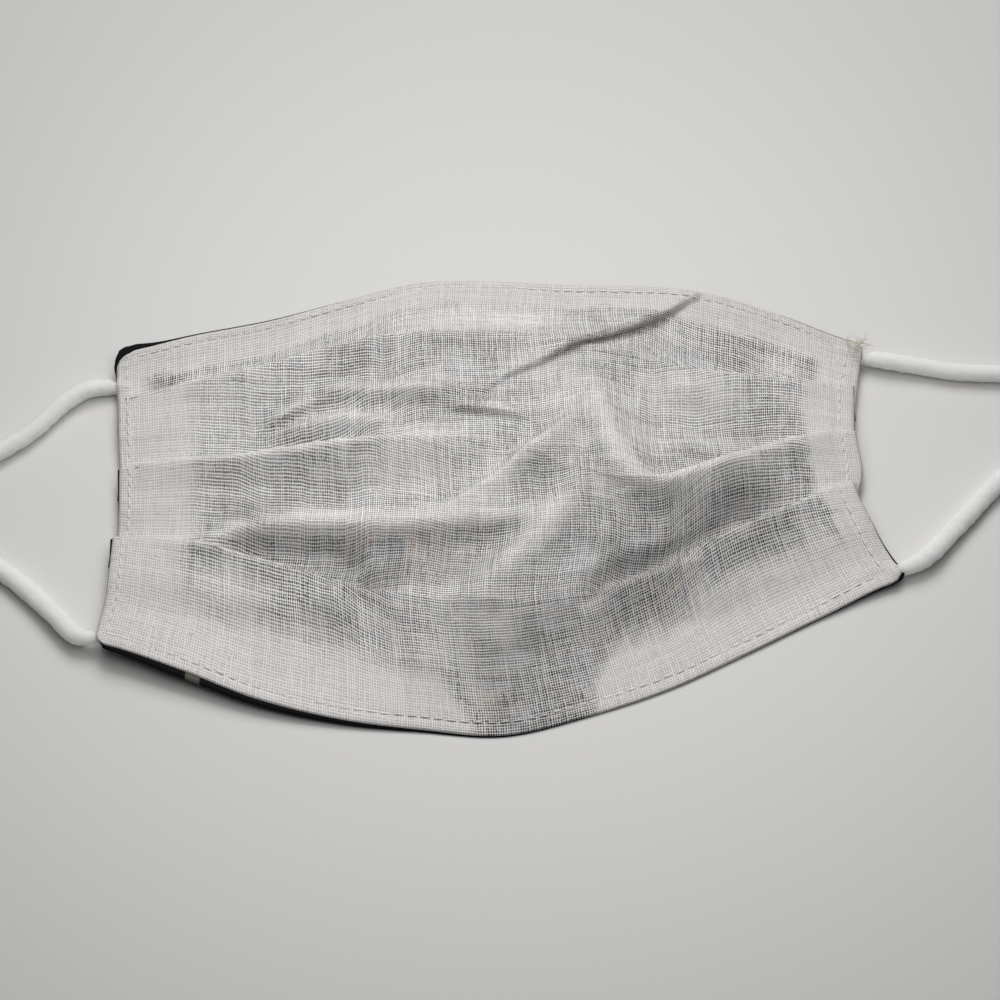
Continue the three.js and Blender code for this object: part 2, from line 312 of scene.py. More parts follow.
# Lines across the mask at eleven even stations from left to right. y and z are of the
# folded edge, drop is how far the layer above lies lower, and under is how deep the
# cloth is folded under it (below zero: the pleat is pulled open by so much).
LINES = [
    {"y": [40.9, 48.3, 53.4, 59.4, 64.1, 63.6, 62.0, 61.2, 59.5, 53.9, 43.6],
     "z": [6.0, 3.6, 3.0, 3.4, 4.5, 6.0, 6.5, 7.0, 6.0, 4.0, 6.0],
     "drop": [0] * 11, "under": [0] * 11},
    {"y": [27.3, 32.5, 37.9, 42.6, 44.5, 44.4, 41.5, 36.7, 33.8, 33.7, 31.1],
     "z": [5.4, 5.2, 5.6, 7.2, 9.0, 10.0, 10.5, 9.5, 7.8, 5.4, 5.6],
     "drop": [1.5, 1.6, 1.6, 1.4, 0.2, 0, 0, 0.6, 1.5, 1.6, 1.5],
     "under": [9, 9, 7.5, 4, -2.5, -2.5, -2.5, -2, 6, 9, 9]},
    {"y": [6.7, 9.9, 9.5, 11.2, 12.1, 10.6, 4.1, -1.7, 4.2, 13.5, 17.4],
     "z": [5.4, 5.4, 7.0, 9.6, 11.0, 11.0, 11.0, 12.5, 12.3, 7.2, 5.6],
     "drop": [1.5, 1.8, 2.0, 1.8, 0.8, 0, 0, 0.2, 2.0, 1.8, 1.5],
     "under": [9, 9.5, 9, 6, 0.6, -2.5, -2.5, -2.2, 6, 9.5, 9]},
    {"y": [-12.5, -14.2, -19.2, -24.7, -28.7, -30.5, -29.4, -23.0, -15.3, -5.5, 3.1],
     "z": [5.4, 5.4, 5.6, 5.8, 6.5, 7.0, 6.5, 6.2, 6.5, 5.5, 5.4],
     "drop": [1.5, 1.8, 1.9, 1.6, 0.3, 0, 0.4, 1.6, 2.0, 1.9, 1.5],
     "under": [9, 9, 8, 5, -2, -2.5, -2.5, 2.5, 8, 9.5, 9]},
    {"y": [-41.2, -46.8, -53.9, -58.3, -60.6, -61.9, -57.3, -50.6, -41.4, -31.7, -23.3],
     "z": [6.8, 5.6, 4.4, 3.2, 2.5, 2.3, 2.3, 2.4, 2.5, 2.8, 4.2],
     "drop": [0] * 11, "under": [0] * 11},
]

# Bands between those lines: x of the side edge at the band's start, middle and end, how
# far the band hangs below a straight line between its two edges, and how far the cotton
# rolls out past the gauze at each side (below zero: it stays back under it).
BANDS = [
    {"left": [-92.6, -91.6, -90.4], "right": [90.2, 88.3, 86.8], "sag": 1.6,
     "roll_left": [1.2, -0.4, -0.4], "roll_right": [-0.2, -0.4, -0.4]},
    {"left": [-90.9, -89.3, -87.7], "right": [87.0, 86.0, 85.6], "sag": 1.2,
     "roll_left": [-0.4, -0.4, -0.4], "roll_right": [-0.4, -0.4, -0.4]},
    {"left": [-88.4, -87.4, -87.5], "right": [86.1, 86.6, 83.6], "sag": 1.6,
     "roll_left": [0.5, 0.1, -0.4], "roll_right": [-0.4, -0.4, -0.4]},
    {"left": [-88.0, -87.8, -89.0], "right": [84.2, 88.2, 93.2], "sag": 1.4,
     "roll_left": [0.6, -0.2, -0.3], "roll_right": [0.15, 0.3, 0.9]},
]

# How round the corners are: nose left, nose right, chin left, chin right.
CORNER_ROUND = (5.0, 1.6, 3.0, 2.5)

# Soft folds: path, rise at each point, reach to the left and right of the path, and how
# sharp the crest is, from 0 for a round one to 1.
FOLDS = [
    ("nose_crease",
     [(50.8, 59.7), (40.5, 52.8), (30.5, 47.3), (20.6, 41.8), (11.0, 35.8), (2.4, 31.6),
      (-2.1, 27.4), (-5.9, 21.8)],
     [0.6, 2.0, 2.6, 2.3, 1.5, 1.1, 0.8, 0.1], 1.3, 9, 0.4),
    ("nose_crease_foot",
     [(48.3, 57.2), (38.1, 50.2), (26.9, 45.2), (17.0, 39.1)],
     [-0.2, -0.7, -0.6, -0.1], 6, 1.6, 0.2),
    ("cross_crease",
     [(-13.0, 22.5), (-6.3, 21.2), (1.2, 20.3), (10.6, 18.0)],
     [0.1, 2.2, 2.2, 0.1], 6, 1.7, 0.75),
    ("tunnel",
     [(-41.4, 28.8), (-35.0, 28.2), (-22.5, 27.2), (-15.4, 27.2), (-6.4, 26.5)],
     [0.3, 2.5, 3.3, 3.1, 0.7], 6, 5.2, 0.35),
    ("left_streak",
     [(-56.9, 17.8), (-52.3, 20.8), (-46.5, 24.2), (-38.2, 28.2)],
     [0.2, 2.6, 3.0, 1.0], 8, 2.8, 0.5),
    ("left_lens",
     [(-54.9, 14.2), (-47.2, 17.8), (-36.5, 19.3), (-27.5, 17.7), (-21.8, 14.9)],
     [0.2, 2.4, 3.6, 3.2, 0.2], 5, 7.5, 0.3),
    ("shelf",
     [(-70.6, -15.2), (-64.8, -12.6), (-56.0, -10.1), (-44.4, -9.7), (-32.9, -10.5),
      (-21.5, -10.7), (-10.1, -10.5), (1.2, -9.7), (8.0, -8.7), (14.0, -6.7)],
     [0.2, 2.8, 4.6, 5.0, 4.5, 3.7, 3.3, 3.2, 2.3, 0.2], 12, 7.0, 0.55),
    ("shelf_dark",
     [(-61.8, -14.4), (-53.2, -16.3), (-43.2, -18.5), (-34.0, -20.1)],
     [-0.4, -2.0, -2.4, -0.5], 5, 1.8, 0.0),
    ("slanting_ridge",
     [(-12.5, -7.4), (-6.8, -4.2), (1.2, 1.4), (9.3, 9.1), (17.6, 17.5), (22.5, 23.0)],
     [0.4, 2.4, 3.2, 3.2, 2.4, 0.2], 3.2, 9, 0.5),
    ("slanting_valley",
     [(-5.7, 2.3), (2.4, 9.4), (11.8, 17.2)],
     [-0.3, -2.2, -0.4], 8, 4, 0.0),
    ("long_ridge",
     [(22.8, 1.0), (16.0, -6.7), (11.4, -12.9), (4.6, -19.7), (-3.3, -27.7), (-12.2, -34.9)],
     [0.8, 3.0, 3.2, 3.0, 2.2, 0.2], 9, 7, 0.1),
    ("rising_ridge",
     [(40.7, -0.2), (33.3, -0.5), (28.9, 4.5), (25.9, 13.7), (23.9, 23.2), (21.5, 31.5)],
     [0.4, 2.4, 3.4, 3.4, 2.6, 0.2], 6.5, 9, 0.1),
    ("right_bowl",
     [(40.1, 16.7), (48.6, 19.4), (59.4, 21.2)],
     [-2.2, -3.4, -1.4], 11, 10, 0.0),
    ("right_valley",
     [(54.0, -13.8), (44.6, -17.3), (36.5, -20.3), (28.9, -22.7), (23.8, -25.3), (19.2, -31.6)],
     [-0.2, -1.0, -2.8, -3.6, -2.8, -0.3], 3.4, 6, 0.2),
    ("face_bulge",
     [(57.8, -3.3), (47.0, -10.5), (36.5, -16.0), (26.6, -20.3)],
     [0.2, 0.9, 1.8, 0.5], 5.5, 8, 0.1),
    ("hump_rim",
     [(-48.1, -19.1), (-38.7, -17.2), (-32.4, -19.6), (-29.7, -25.9), (-29.6, -35.6)],
     [-0.3, -1.8, -2.4, -1.9, -0.2], 5, 4, 0.3),
    ("hump",
     [(-43.8, -27.1), (-37.0, -29.2), (-34.9, -35.6)],
     [0.4, 2.2, 0.3], 7, 7, 0.0),
    ("chin_wave",
     [(-18.8, -38.9), (-12.1, -45.7), (-8.7, -53.5)],
     [0.2, 1.0, 0.2], 7, 7, 0.0),
    ("chin_dip",
     [(5.6, -51.0), (10.1, -41.5), (16.8, -34.8)],
     [-0.2, -1.0, -0.2], 7, 7, 0.0),
    ("nose_wave_left",
     [(-23.7, 58.0), (-27.0, 46.9), (-32.7, 38.5)],
     [0.1, 1.2, 0.2], 6, 6, 0.0),
    ("nose_wave_right",
     [(65.3, 51.5), (59.7, 43.2), (56.2, 35.0)],
     [0.1, 1.1, 0.2], 8, 8, 0.0),
    ("lip_fall_left",
     [(-86.9, 7.1), (-80.9, 7.3), (-70.5, 8.3), (-59.6, 8.4), (-47.9, 9.4), (-36.2, 10.7),
      (-25.4, 12.0)],
     [0.2, 1.0, 1.9, 2.5, 2.7, 2.2, 0.3], 2.8, 10, 0.45),
    ("lip_fall_right",
     [(33.2, -3.5), (39.6, -3.1), (48.9, 0.8), (60.3, 6.4), (69.7, 12.3), (80.6, 16.2)],
     [0.5, 2.2, 3.2, 3.0, 1.8, 0.2], 3.4, 13, 0.15),
    ("lip_fall_low_left",
     [(-79.0, -13.3), (-68.6, -14.9), (-58.1, -17.7), (-47.7, -20.6), (-37.3, -23.8)],
     [0.1, 0.7, 1.0, 0.8, 0.1], 2.2, 8, 0.4),
    ("lip_fall_low_right",
     [(24.7, -24.6), (38.4, -20.7), (50.8, -14.2), (61.7, -8.5), (73.3, -2.1), (80.4, 1.3)],
     [0.4, 1.8, 1.9, 1.5, 0.8, 0.2], 2.8, 9, 0.4),
    ("lip_fall_top_left",
     [(-83.2, 29.7), (-70.7, 32.0), (-60.9, 34.6), (-47.3, 39.3)],
     [0.2, 0.8, 1.0, 0.2], 2.2, 7, 0.4),
    ("lip_fall_top_right",
     [(46.9, 33.3), (57.7, 32.3), (71.5, 31.8), (80.7, 31.1)],
     [0.2, 0.9, 0.9, 0.2], 2.2, 7, 0.4),
    ("elastic_lump_nose_left",
     [(-93.0, 31.7), (-87.5, 31.7)],
     [1.5, 0.1], 3.4, 3.4, 0.0),
    ("elastic_lump_nose_right",
     [(91.0, 41.0), (86.0, 41.0)],
     [1.3, 0.1], 3.5, 3.5, 0.0),
    ("elastic_lump_chin_right",
     [(94.0, -20.5), (88.5, -21.0)],
     [1.4, 0.1], 3.2, 3.2, 0.0),
]

# Folds whose crest leans over to the left of its path, and how far.
LEANING = {"nose_crease": 1.9, "cross_crease": -0.9}

# Where the gauze lies close on the black cotton (above zero) or stands clear of it, and partly
# painted shade (above zero) and painted light (below zero) on the folds: x, y, reach across, reach
# up and down, and how much.
NEARNESS_AND_SHADE_SPOTS = [
    (-3.7, 50.7, 22.3, 6.8, -1.2),
    (-47.7, 43.0, 14.1, 5.1, -0.5),
    (-60.9, -25.4, 11.3, 6.2, -1.2),
    (15.2, 10.2, 7.0, 8.5, -0.3),
    (10.8, 34.7, 10.6, 5.1, -0.6),
    (34.1, 14.5, 5.9, 5.7, -0.5),
    (-35.8, 29.8, 7.0, 2.3, -0.5),
    (-20.8, 3.6, 18.8, 5.7, -0.8),
    (33.3, -1.3, 14.6, 3.7, -0.9),
    (47.1, 27.6, 13.6, 6.8, -1.1),
    (17.3, 24.1, 10.3, 9.6, -0.5),
    (-16.4, 14.3, 11.8, 4.3, -0.8),
    (-67.2, 27.8, 9.4, 11.3, -0.7),
    (10.0, -51.5, 11.8, 10.8, 1.8),
    (26.2, -36.8, 22.3, 11.9, 1.4),
    (34.3, -15.8, 14.6, 4.5, 1.2),
    (-27.9, -19.8, 22.3, 7.4, 1.2),
    (55.3, -5.4, 17.6, 9.6, 0.9),
    (63.7, -20.6, 17.6, 6.8, 1.0),
    (-80.8, 32.3, 8.2, 2.3, 1.0),
    (43.6, -28.0, 14.6, 6.8, 0.9),
    (-55.8, -6.2, 9.9, 4.8, 0.8),
]

# Painted shade: dark lines along the creases where the folds' shadows fall, added to the nearness:
# path, how much, reach to its left and right.
CREASE_SHADE_LINES = [
    ([(44.7, 54.5), (36.6, 50.0), (27.6, 45.2), (19.4, 40.3), (11.5, 35.3)],
     [0.3, 1.6, 2.0, 1.4, 0.2], 1.4, 0.9),
    ([(47.0, -15.9), (39.5, -19.4), (32.1, -22.4), (25.2, -25.3), (21.5, -28.5)],
     [0.2, 1.1, 1.6, 1.3, 0.2], 1.6, 3.2),
    ([(-64.0, -14.4), (-54.7, -17.4), (-44.3, -19.0), (-34.0, -21.1)],
     [0.2, 0.9, 1.1, 0.2], 3.0, 2.2),
    ([(-55.2, 18.4), (-49.9, 21.2), (-41.7, 25.2)],
     [0.2, 0.9, 0.2], 1.6, 1.6),
]


def along(row, s):
    """Smooth value of a table row at fraction s of the way across."""
    row = np.array(row, float)
    last = len(row) - 1
    i = np.clip(np.floor(s * last).astype(int), 0, last - 1)
    t = s * last - i
    a, b = row[np.maximum(i - 1, 0)], row[i]
    c, d = row[i + 1], row[np.minimum(i + 2, last)]
    return b + 0.5 * t * (c - a + t * (2 * a - 5 * b + 4 * c - d + t * (3 * (b - c) + d - a)))


def ease(low, high, value):
    """0 below low, 1 above high, smooth between; falls if low is over high."""
    t = np.clip((value - low) / (high - low), 0, 1)
    return t * t * (3 - 2 * t)


def fold_height(x, y, path, rises, wide_left, wide_right, crest):
    """How far a soft fold along a path lifts each point."""
    best = np.full(x.shape, 1e9)
    rise = np.zeros(x.shape)
    reach = np.ones(x.shape)
    for (ax, ay), (bx, by), low, high in zip(path, path[1:], rises, rises[1:]):
        dx, dy = bx - ax, by - ay
        t = np.clip(((x - ax) * dx + (y - ay) * dy) / (dx * dx + dy * dy), 0, 1)
        away = np.hypot(x - ax - t * dx, y - ay - t * dy)
        on_left = dx * (y - ay) - dy * (x - ax) > 0
        nearer = away < best
        best = np.where(nearer, away, best)
        rise = np.where(nearer, low + (high - low) * t, rise)
        reach = np.where(nearer, np.where(on_left, wide_left, wide_right), reach)
    t = np.clip(best / reach, 0, 1)
    round_top = 0.5 + 0.5 * np.cos(np.pi * t)
    sharp_top = (1 - t) ** 2
    return rise * (round_top + (sharp_top - round_top) * crest)


# The layer above lies LIP_DROP lower where a pleat is shut, and a pleat's thickness fades
# out over STACK_FADE below its lip. At the side hems the bands hang less.
LIP_DROP = 1.5
LIP_DROP_FROM = (-2.6, -0.2)
LEAST_LIP = 0.9
STACK_FADE = (0.3, 10.5)
SIDE_REACH = 0.16
SIDE_SAG = 0.35
PLEAT_SHUT = (-0.8, 0.8)
UNDER_LIP = (-0.2, 2.2)
OPEN_PLEAT = (-0.1, 1.1)
LEAST_SPARE = 0.1

STATIONS = np.linspace(0, 1, COLUMNS + 1)
line_y = [along(line["y"], STATIONS) for line in LINES]
line_z = [along(line["z"], STATIONS) for line in LINES]
line_under = [along(line["under"], STATIONS) for line in LINES]
line_drop = [
    np.maximum(along(line["drop"], STATIONS), LIP_DROP * ease(*LIP_DROP_FROM, under))
    * (0 < k < len(LINES) - 1)
    for k, (line, under) in enumerate(zip(LINES, line_under))
]
FROM_SIDES = ease(0.0, SIDE_REACH, STATIONS) * ease(1.0, 1 - SIDE_REACH, STATIONS)


def band_height(k, y):
    """Height of band k's cloth at y, between its upper line and the next line's lip."""
    top, low = line_y[k], line_y[k + 1]
    q = np.clip((top - y) / (top - low), 0, 1)
    depth = np.maximum(line_under[k], 0)
    stacked = 1 - ease(depth + STACK_FADE[0], depth + STACK_FADE[1], top - y)
    level = (line_z[k] - line_drop[k]) * (1 - q) + (line_z[k + 1] - line_drop[k + 1]) * q
    sag = BANDS[k]["sag"] * (SIDE_SAG + (1 - SIDE_SAG) * FROM_SIDES) * np.sin(np.pi * q)
    least = VISUAL_DROP + PANEL + FLOOR_GAP + STACK_DEEP * stacked * (line_drop[k] > LEAST_LIP)
    return np.maximum(level + line_drop[k] * stacked - sag, least)


def cloth_rows():
    """The lining's top, row by row from nose to chin: its x, y and z, how far it stands
    clear of the cotton (with a painted highlight along each lip), how far it leans over,
    and each row's band, or None in a fold."""
    xs, ys, zs, bands = [], [], [], []
    for k, band in enumerate(BANDS):
        under, lip_y = line_under[k + 1], line_y[k + 1]
        closed = ease(*PLEAT_SHUT, under)
        for r in range(BAND_ROWS[k] + 1):
            t = r / BAND_ROWS[k]
            y = line_y[k] * (1 - t) + (lip_y - under) * t
            left, right = along(band["left"], np.array(t)), along(band["right"], np.array(t))
            z = band_height(k, y)
            if k + 1 < len(BANDS):
                beneath = band_height(k + 1, y) - STACK_DEEP
                past_lip = closed * ease(*UNDER_LIP, lip_y - y)
                z = z + (beneath - z) * past_lip
            xs.append(left + (right - left) * STATIONS)
            ys.append(y)
            zs.append(z)
            bands.append(k)
        if k + 1 == len(BANDS):
            break
        end_z = zs[-1]
        for r in range(1, FOLD_ROWS + 1):
            t = r / (FOLD_ROWS + 0.5)
            y = (lip_y - under) * (1 - t) + lip_y * t
            doubled = band_height(k + 1, y) - FOLD_DEEP
            opened = end_z + (line_z[k + 1] - end_z) * ease(*OPEN_PLEAT, t)
            xs.append(xs[-1])
            ys.append(y)
            zs.append(doubled * closed + opened * (1 - closed))
            bands.append(None)
        bend = (FOLD_DEEP / 2) * closed
        spare = np.maximum(-under, LEAST_SPARE) * 0.5 / (FOLD_ROWS + 0.5)
        for i, angle in enumerate(LIP_ANGLES):
            turn = math.radians(angle)
            left_over = 1 - (i + 1) / (len(LIP_ANGLES) + 1)
            xs.append(xs[-1])
            ys.append(lip_y + bend * math.cos(turn) + spare * left_over)
            zs.append(line_z[k + 1] - bend + bend * math.sin(turn))
            bands.append(None)
    x, y, z = np.array(xs), np.array(ys), np.array(zs)
    lift_and_highlight = np.zeros(x.shape)
    # Painted highlight: the rows just past each shut lip get more lift, so the gauze is painted
    # paler along the lip.
    for r, k in enumerate(bands):
        if k:
            past = (line_y[k] - y[r]) / LIP_PALE
            lift_and_highlight[r] += LIP_LIFT_AND_HIGHLIGHT * np.exp(-(past**2)) * ease(*LIP_SHUT, line_under[k])
    shift_x, shift_y = np.zeros(x.shape), np.zeros(x.shape)
    for name, path, rises, wide_left, wide_right, crest in FOLDS:
        rise = fold_height(x, y, path, rises, wide_left, wide_right, crest)
        z += rise
        lift_and_highlight += rise
        if name in LEANING:
            way = Vector(path[-1]) - Vector(path[0])
            lean = LEANING[name] * rise / max(rises) / way.length
            shift_x -= way.y * lean
            shift_y += way.x * lean
    return x + shift_x, y + shift_y, z - VISUAL_DROP, lift_and_highlight, (shift_x, shift_y), bands


def grid_mesh(name, x, y, z, uv_u, uv_v):
    """A grid of cloth, moved into place point by point; UVs are its flat lie."""
    rows, across = x.shape
    sheet = bmesh.new()
    bmesh.ops.create_grid(sheet, x_segments=across - 1, y_segments=rows - 1, size=0.5)
    mesh = bpy.data.meshes.new(name)
    sheet.to_mesh(mesh)
    sheet.free()
    flat = np.empty(len(mesh.vertices) * 3)
    mesh.vertices.foreach_get("co", flat)
    flat = flat.reshape(-1, 3)
    column = np.rint((flat[:, 0] + 0.5) * (across - 1)).astype(int)
    row = np.rint((0.5 - flat[:, 1]) * (rows - 1)).astype(int)
    place = np.stack([x[row, column] - CENTRE.x, y[row, column] - CENTRE.y, z[row, column]], 1)
    mesh.vertices.foreach_set("co", (place * MM).ravel())
    corner = np.empty(len(mesh.loops), np.int32)
    mesh.loops.foreach_get("vertex_index", corner)
    layer = mesh.uv_layers.new(name="UVMap")
    uv = np.stack([uv_u[row, column], uv_v[row, column]], 1)[corner]
    layer.uv.foreach_set("vector", uv.ravel())
    mesh.update()
    mesh.shade_smooth()
    return mesh, row, column


cloth_x, cloth_y, cloth_z, cloth_lift_and_highlight, cloth_lean, row_band = cloth_rows()

# UVs are millimetres of the flat cloth over UV_MM: along each column the length of cloth
# passed since the nose edge, and across it the place between the side edges.
UV_MM = 100.0
CLOTH_WIDTH = 186.0
step = np.sqrt(sum(np.diff(a, axis=0) ** 2 for a in (cloth_x, cloth_y, cloth_z)))
passed = np.vstack([np.zeros(step.shape[1]), np.cumsum(step, axis=0)])
CLOTH_LENGTH = float(passed[-1].mean())
flat_v = passed / passed[-1] * CLOTH_LENGTH / UV_MM
flat_u = np.repeat(STATIONS[None, :] * CLOTH_WIDTH / UV_MM, len(cloth_x), 0)

# Hem: the edge is rounded, and the seam line inside it is drawn in and puckered.
NOSE_SEAM = 1.9
CHIN_SEAM = 3.1
LEFT_SEAM = 2.4
RIGHT_SEAM = 3.6
PUCKER = 3.0
PUFF_HIGH, PUFF_WIDE = 0.10, 1.6
GROOVE_DEEP, GROOVE_WIDE = 0.16, 0.55
EDGE_DROP, EDGE_WIDE = 0.30, 1.1
CHIN_SHIFT, RIGHT_SHIFT = 1.0, 0.7
HEM_GAP = 0.02

from_nose = passed
from_chin = passed[-1] - passed
from_left = cloth_x - cloth_x[:, :1]
from_right = cloth_x[:, -1:] - cloth_x


def hem_shape(distance, seam, way):
    """Height of the hem: a groove at the seam, with puckers along the way, and the edge."""
    groove = np.exp(-(((distance - seam) / GROOVE_WIDE) ** 2))
    puckers = np.sin(way * (2 * np.pi / PUCKER))
    puff = np.exp(-(((distance - seam) / PUFF_WIDE) ** 2)) * puckers
    edge = 1 - ease(0.0, EDGE_WIDE, distance)
    return -GROOVE_DEEP * groove + PUFF_HIGH * puff - EDGE_DROP * edge


across_step = np.abs(np.diff(cloth_x, axis=1, prepend=cloth_x[:, :1]))
across_length = np.cumsum(across_step, axis=1)
cloth_z = cloth_z + (
    hem_shape(from_nose, NOSE_SEAM, across_length)
    + hem_shape(from_chin, CHIN_SEAM, across_length + CHIN_SHIFT)
    + hem_shape(from_left, LEFT_SEAM, passed)
    + hem_shape(from_right, RIGHT_SEAM, passed + RIGHT_SHIFT)
)
cloth_z = np.maximum(cloth_z, PANEL + HEM_GAP)


def round_corner(x, y, row, column, radius):
    """Moves the points near one corner so that the cloth's outline turns it in an arc."""
    tip_x, tip_y = x[row, column], y[row, column]
    way_x, way_y = np.sign(x[row, COLUMNS // 2] - tip_x), np.sign(-tip_y)
    edge_x, edge_y = x[:, column][:, None], y[row, :][None, :]
    a = np.clip(1 - np.abs(x - edge_x) / radius, 0, 1)
    b = np.clip(1 - np.abs(y - edge_y) / radius, 0, 1)
    near = (np.abs(x - tip_x) < 3 * radius) & (np.abs(y - tip_y) < 3 * radius)
    a, b = a * near, b * near
    moved_a, moved_b = a * np.sqrt(1 - b * b / 2), b * np.sqrt(1 - a * a / 2)
    return x + way_x * (a - moved_a) * radius, y + way_y * (b - moved_b) * radius


for (row, column), radius in zip(((0, 0), (0, -1), (-1, 0), (-1, -1)), CORNER_ROUND):
    cloth_x, cloth_y = round_corner(cloth_x, cloth_y, row, column, radius)

lining_mesh, grid_row, grid_column = grid_mesh(
    "lining_gauze", cloth_x, cloth_y, cloth_z, flat_u, flat_v
)
nearness_and_shade = sum(
    amount * np.exp(-(((cloth_x - x) / wide) ** 2) - ((cloth_y - y) / deep) ** 2)
    for x, y, wide, deep, amount in NEARNESS_AND_SHADE_SPOTS
)
# Painted shade along the creases goes into the nearness.
for path, amounts, wide_left, wide_right in CREASE_SHADE_LINES:
    nearness_and_shade = nearness_and_shade + fold_height(cloth_x, cloth_y, path, amounts, wide_left, wide_right, 0.0)
for name, values in (("lift_and_highlight", cloth_lift_and_highlight), ("nearness_and_shade", nearness_and_shade)):
    attribute = lining_mesh.attributes.new(name, "FLOAT", "POINT")
    attribute.data.foreach_set("value", values[grid_row, grid_column])

# The weave: threads that wander and are thick and thin in turn, with square holes between.
WARP_PITCH = 0.56
WEFT_PITCH = 0.72
WANDER = 0.5
WANDER_SCALE = 0.35
SLUB = 0.6
DOWN_WARP = (2.4, 0.06, 1)
ALONG_WEFT = (0.06, 2.4, 1)
SLUB_IN_HOLES = 0.45
SPECK_SCALE = 1.6
SPECK_IN_HOLES = 0.55
HOLE_FROM, HOLE_TO = 0.15, 0.31

gauze = Finish(
    "white_gauze",
    {"Roughness": 0.95, "Sheen Weight": 0.10, "Sheen Roughness": 0.6},
)
on_gauze = gauze.on_flat()
u, v = gauze.axes(on_gauze)
wander = gauze.noise(on_gauze, WANDER_SCALE, 3, 0.6) - 0.5
warp_slub = gauze.noise(on_gauze, 1.0, 3, 0.6, DOWN_WARP) - 0.5
weft_slub = gauze.noise(on_gauze, 1.0, 3, 0.6, ALONG_WEFT) - 0.5
warp = ((u + wander * WANDER + warp_slub * SLUB) * (2 * math.pi / WARP_PITCH)).cosine()
weft = ((v - wander * WANDER + weft_slub * SLUB) * (2 * math.pi / WEFT_PITCH)).cosine()
speck = gauze.noise(on_gauze, SPECK_SCALE, 1, 0.5) - 0.5
square = (warp * 0.5 + 0.5) * (weft * 0.5 + 0.5)
uneven = (warp_slub + weft_slub) * SLUB_IN_HOLES
holes = (square + uneven + speck * SPECK_IN_HOLES).ramp(HOLE_FROM, HOLE_TO)

# The black outer shows through the holes, except in the borders where the seam
# allowances are turned in, and where a fold stands clear of it. Each side border has
# three widths, for the nose band, the middle bands and the chin band, the chin border
# has a gap round CHIN_GAP, and the borders' edges are rough. A fold is close on the
# cotton up to a rise of LIFT_CLOSE, and clear of it from LIFT_CLEAR on.
NOSE_BORDER = 7.5
CHIN_BORDER = 14.0
CHIN_GAP, CHIN_GAP_DEEP = 99.5, 22.0
CHIN_GAP_OUT, CHIN_GAP_IN = 22.5, 8.5
LEFT_BORDERS = (5.5, 17.0, 16.0)
RIGHT_BORDERS = (8.0, 11.5, 6.5)
BAND_ENDS = (18.0, 105.0)
BAND_BLUR = 3
BORDER_BLUR = 2.6
ROUGH_EDGE = 9
ROUGH_SCALE = 0.10
LIFT_CLEAR, LIFT_CLOSE = 3.4, 1.5

rough_edge = (gauze.noise(on_gauze, ROUGH_SCALE, 4, 0.65) - 0.5) * ROUGH_EDGE
ru, rv = u + rough_edge, v + rough_edge


def side_border(widths):
    """Width of a side border, which changes from band to band."""
    border = widths[0]
    for at, before, after in zip(BAND_ENDS, widths, widths[1:]):
        border = border + v.ramp(at, at + BAND_BLUR) * (after - before)
    return border


chin_gap = (ru - CHIN_GAP).size().ramp(CHIN_GAP_OUT, CHIN_GAP_IN)
inside = (
    (ru - side_border(LEFT_BORDERS)).ramp(-1.0, 2 * BORDER_BLUR)
    * (CLOTH_WIDTH - ru - side_border(RIGHT_BORDERS)).ramp(0.0, BORDER_BLUR)
    * rv.ramp(NOSE_BORDER, NOSE_BORDER + BORDER_BLUR)
    * (CLOTH_LENGTH - rv - CHIN_BORDER + chin_gap * CHIN_GAP_DEEP).ramp(-2.0, 3 * BORDER_BLUR)
)
lift_and_highlight = gauze.attribute("lift_and_highlight")
# The nearness darkens the gauze above zero and pales it below zero. Partly this is how close the
# gauze lies on the cotton, and partly it is painted shade and painted light.
nearness_and_shade = gauze.attribute("nearness_and_shade")
close_and_shade, clear = nearness_and_shade.ramp(0.0, 1.0), nearness_and_shade.ramp(0.0, -1.0)
contact_and_shade = lift_and_highlight.ramp(LIFT_CLEAR, LIFT_CLOSE) * (1 - close_and_shade) + close_and_shade

# The outer's print shows as soft patches in worn greys, blues, roses and tans: where
# each colour stands on a scale from 0 to 1, and the colour.
PRINT_COLOURS = [
    (0.0, (0.080, 0.095, 0.120, 1)), (0.22, (0.20, 0.235, 0.27, 1)),
    (0.40, (0.34, 0.20, 0.18, 1)), (0.55, (0.38, 0.33, 0.25, 1)),
    (0.72, (0.30, 0.29, 0.29, 1)), (1.0, (0.17, 0.21, 0.26, 1)),
]


def print_colour(finish, number):
    """The print's colour for a number from 0 to 1."""
    node = finish.tree.nodes.new("ShaderNodeValToRGB")
    for at, colour in PRINT_COLOURS[1:-1]:
        node.color_ramp.elements.new(at).color = colour
    node.color_ramp.elements[0].color = PRINT_COLOURS[0][1]
    node.color_ramp.elements[-1].color = PRINT_COLOURS[-1][1]
    finish.tree.links.new(number.socket, node.inputs[0])
    return Wire(finish, node.outputs[0])


PATCH_SCALE, TINT_SCALE, BLOTCH_SCALE = 0.10, 0.065, 0.05
PATCH_SHARE = 0.55
DARK_BEHIND = (0.030, 0.028, 0.027, 1)
GREY_BEHIND = (0.115, 0.107, 0.103, 1)
BORDER_HOLE = (0.56, 0.54, 0.53, 1)
BORDER_THREAD = (0.825, 0.805, 0.795, 1)
GAUZE_THREAD = (0.93, 0.91, 0.895, 1)
HIDDEN_WHEN_CLEAR = 0.72
THREAD_DEEP = 0.20 * MM

patch = gauze.noise(on_gauze, PATCH_SCALE, 2, 0.5).ramp(0.48, 0.64)
tint = print_colour(gauze, gauze.noise(on_gauze, TINT_SCALE, 1, 0.5).ramp(0.34, 0.66))
blotch = gauze.noise(on_gauze, BLOTCH_SCALE, 2, 0.5).ramp(0.40, 0.60)
